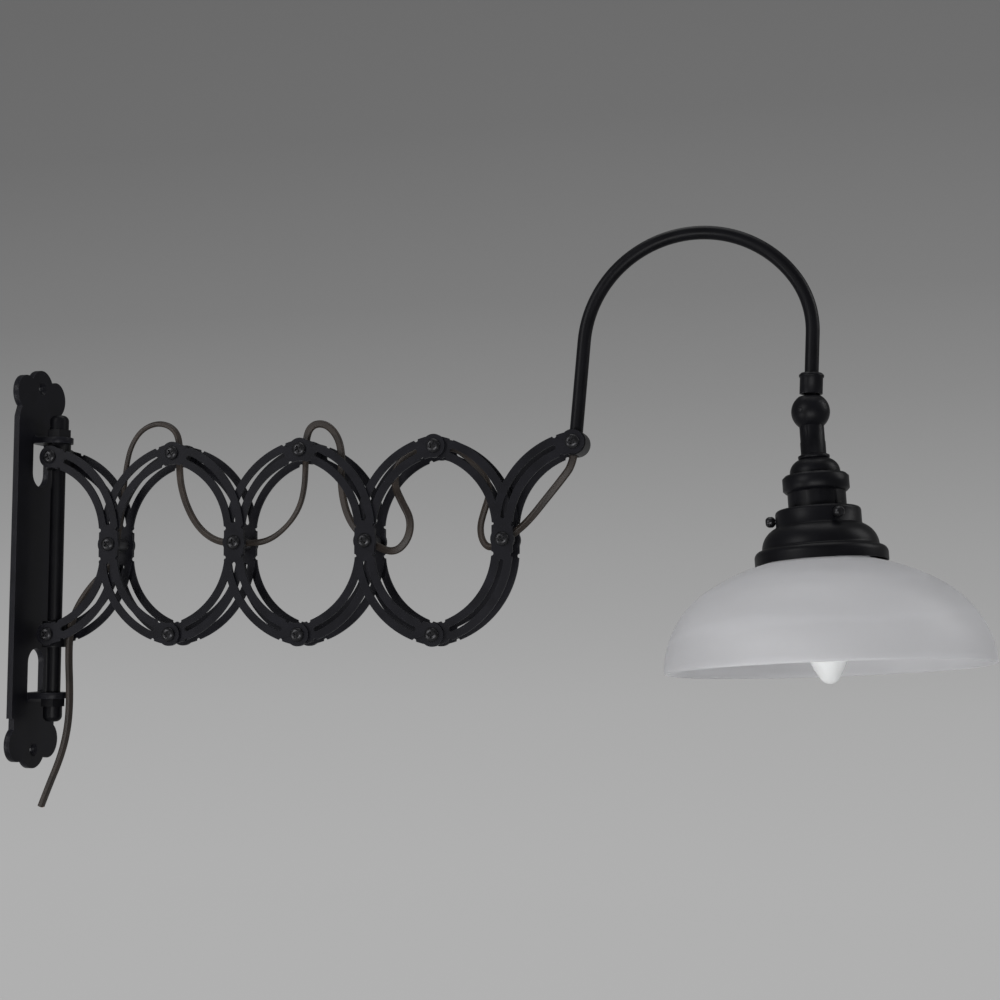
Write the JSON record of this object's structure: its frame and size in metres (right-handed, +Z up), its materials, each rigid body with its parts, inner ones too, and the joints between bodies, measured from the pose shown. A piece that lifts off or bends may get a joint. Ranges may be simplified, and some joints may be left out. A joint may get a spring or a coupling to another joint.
{
  "type": "accordion wall lamp",
  "caption": "Wall lamp on a scissor arm that folds, extends and swings from a wall plate, with a gooseneck, a swivel ball joint and a domed glass shade.",
  "frame": {"origin": "back of the wall plate, midway between its two screw holes", "axes": "+X out of the wall along the arm, +Z up, so the lamp is seen in the picture from -Y"},
  "size_m": [0.7858, 0.2407, 0.4641],
  "materials": {
    "black_metal": "satin black",
    "spacer_metal": "satin dark grey",
    "screw_metal": "blackened steel",
    "shade_glass": "alabaster glass",
    "bulb_glass": "clear",
    "bulb_brass": "bright",
    "porcelain": "glazed",
    "cord_sleeve": "matte"
  },
  "bodies": {
    "wall_bracket": {"wall_plate": "black_metal"},
    "swing_post": {"pivot_post": "black_metal", "cap_nuts": "black_metal", "pivot_block": "black_metal", "pivot_block_screws": "screw_metal"},
    "outer_link_0": {"link_a0_front": "black_metal", "link_a0_rear": "black_metal", "link_a0_spacers": "spacer_metal", "link_a0_screws": "screw_metal"},
    "inner_link_0": {"link_c0_front": "black_metal", "link_c0_rear": "black_metal", "cord_t1_to_m0": "cord_sleeve", "cord_tail": "cord_sleeve"},
    "outer_link_1": {"link_a1_front": "black_metal", "link_a1_rear": "black_metal", "link_a1_spacers": "spacer_metal", "link_a1_screws": "screw_metal", "cord_m1_to_t1": "cord_sleeve"},
    "inner_link_1": {"link_c1_front": "black_metal", "link_c1_rear": "black_metal", "cord_t2_to_m1": "cord_sleeve"},
    "outer_link_2": {"link_a2_front": "black_metal", "link_a2_rear": "black_metal", "link_a2_spacers": "spacer_metal", "link_a2_screws": "screw_metal", "cord_m2_to_t2": "cord_sleeve"},
    "inner_link_2": {"link_c2_front": "black_metal", "link_c2_rear": "black_metal", "cord_t3_to_m2": "cord_sleeve"},
    "outer_link_3": {"link_a3_front": "black_metal", "link_a3_rear": "black_metal", "link_a3_spacers": "spacer_metal", "link_a3_screws": "screw_metal", "cord_m3_to_t3": "cord_sleeve"},
    "inner_link_3": {"link_c3_front": "black_metal", "link_c3_rear": "black_metal", "cord_hub_to_m3": "cord_sleeve"},
    "post_slider": {"slide_block": "black_metal", "slide_block_screws": "screw_metal"},
    "gooseneck": {"tube_hub": "black_metal", "tube_hub_screws": "screw_metal", "gooseneck_tube": "black_metal", "inner_lead": "cord_sleeve"},
    "collar": {"swivel_collar": "black_metal"},
    "lamp_head": {"swivel_ball": "black_metal", "ball_pin": "screw_metal", "holder_neck": "black_metal", "holder_cap": "black_metal", "holder_ring": "black_metal", "holder_shell": "black_metal", "porcelain_core": "porcelain", "socket_contacts": "bulb_brass", "shade_gallery": "black_metal", "gallery_nut": "black_metal", "glass_shade": "shade_glass", "bulb_cap": "bulb_brass", "bulb_glass": "bulb_glass"},
    "shade_screw_1": {"thumb_screw_1": "screw_metal"},
    "shade_screw_2": {"thumb_screw_2": "screw_metal"},
    "shade_screw_3": {"thumb_screw_3": "screw_metal"}
  },
  "joints": [
    {"name": "arm_swing", "type": "hinge", "parent": "wall_bracket", "child": "swing_post", "pos_m": [0.022, 0, 0], "axis": [0, 0, 1], "range_deg": [-75, 75]},
    {"name": "arm_extend", "type": "hinge", "parent": "swing_post", "child": "outer_link_0", "pos_m": [0.022, 0, 0.0935], "axis": [0, -1, 0], "range_deg": [-24, 22], "deforming": ["cord_hub_to_m3", "cord_m3_to_t3", "cord_t3_to_m2", "cord_m2_to_t2", "cord_t2_to_m1", "cord_m1_to_t1", "cord_t1_to_m0", "cord_tail"]},
    {"name": "fold_m0", "type": "hinge", "parent": "outer_link_0", "child": "inner_link_0", "pos_m": [0.07845, 0, 0.01835], "axis": [0, -1, 0], "range_deg": [-44, 48]},
    {"name": "fold_t1", "type": "hinge", "parent": "inner_link_0", "child": "outer_link_1", "pos_m": [0.1349, 0, 0.0935], "axis": [0, -1, 0], "range_deg": [-48, 44]},
    {"name": "fold_m1", "type": "hinge", "parent": "outer_link_1", "child": "inner_link_1", "pos_m": [0.19135, 0, 0.01835], "axis": [0, -1, 0], "range_deg": [-44, 48]},
    {"name": "fold_t2", "type": "hinge", "parent": "inner_link_1", "child": "outer_link_2", "pos_m": [0.2478, 0, 0.0935], "axis": [0, -1, 0], "range_deg": [-48, 44]},
    {"name": "fold_m2", "type": "hinge", "parent": "outer_link_2", "child": "inner_link_2", "pos_m": [0.30425, 0, 0.01835], "axis": [0, -1, 0], "range_deg": [-44, 48]},
    {"name": "fold_t3", "type": "hinge", "parent": "inner_link_2", "child": "outer_link_3", "pos_m": [0.3607, 0, 0.0935], "axis": [0, -1, 0], "range_deg": [-48, 44]},
    {"name": "fold_m3", "type": "hinge", "parent": "outer_link_3", "child": "inner_link_3", "pos_m": [0.41715, 0, 0.01835], "axis": [0, -1, 0], "range_deg": [-44, 48]},
    {"name": "fold_b0", "type": "hinge", "parent": "inner_link_0", "child": "post_slider", "pos_m": [0.022, 0, -0.0568], "axis": [0, -1, 0], "range_deg": [-24, 22]},
    {"name": "neck_tilt", "type": "hinge", "parent": "inner_link_3", "child": "gooseneck", "pos_m": [0.4736, 0, 0.0935], "axis": [0, -1, 0], "range_deg": [-15, 35], "deforming": ["cord_hub_to_m3"]},
    {"name": "head_swivel", "type": "hinge", "parent": "gooseneck", "child": "collar", "pos_m": [0.65558, 0, 0.1123], "axis": [0.0436, 0, 0.999], "range_deg": [-170, 170]},
    {"name": "head_tilt", "type": "hinge", "parent": "collar", "child": "lamp_head", "pos_m": [0.65558, 0, 0.1123], "axis": [-0.5125, -0.8584, 0.0224], "range_deg": [-26.6, 13.4]},
    {"name": "shade_screw_travel_1", "type": "slide", "parent": "lamp_head", "child": "shade_screw_1", "axis": [-0.996, 0.0663, -0.0597], "range_m": [0, 0.003]},
    {"name": "shade_screw_travel_2", "type": "slide", "parent": "lamp_head", "child": "shade_screw_2", "axis": [0.4377, -0.8958, 0.0778], "range_m": [0, 0.003]},
    {"name": "shade_screw_travel_3", "type": "slide", "parent": "lamp_head", "child": "shade_screw_3", "axis": [0.5583, 0.8294, -0.0181], "range_m": [0, 0.003]}
  ],
  "couplings": [
    {"joint": "fold_m0", "follows": "arm_extend", "ratio": -2},
    {"joint": "fold_t1", "follows": "arm_extend", "ratio": 2},
    {"joint": "fold_m1", "follows": "arm_extend", "ratio": -2},
    {"joint": "fold_t2", "follows": "arm_extend", "ratio": 2},
    {"joint": "fold_m2", "follows": "arm_extend", "ratio": -2},
    {"joint": "fold_t3", "follows": "arm_extend", "ratio": 2},
    {"joint": "fold_m3", "follows": "arm_extend", "ratio": -2},
    {"joint": "fold_b0", "follows": "arm_extend", "ratio": 1}
  ]
}
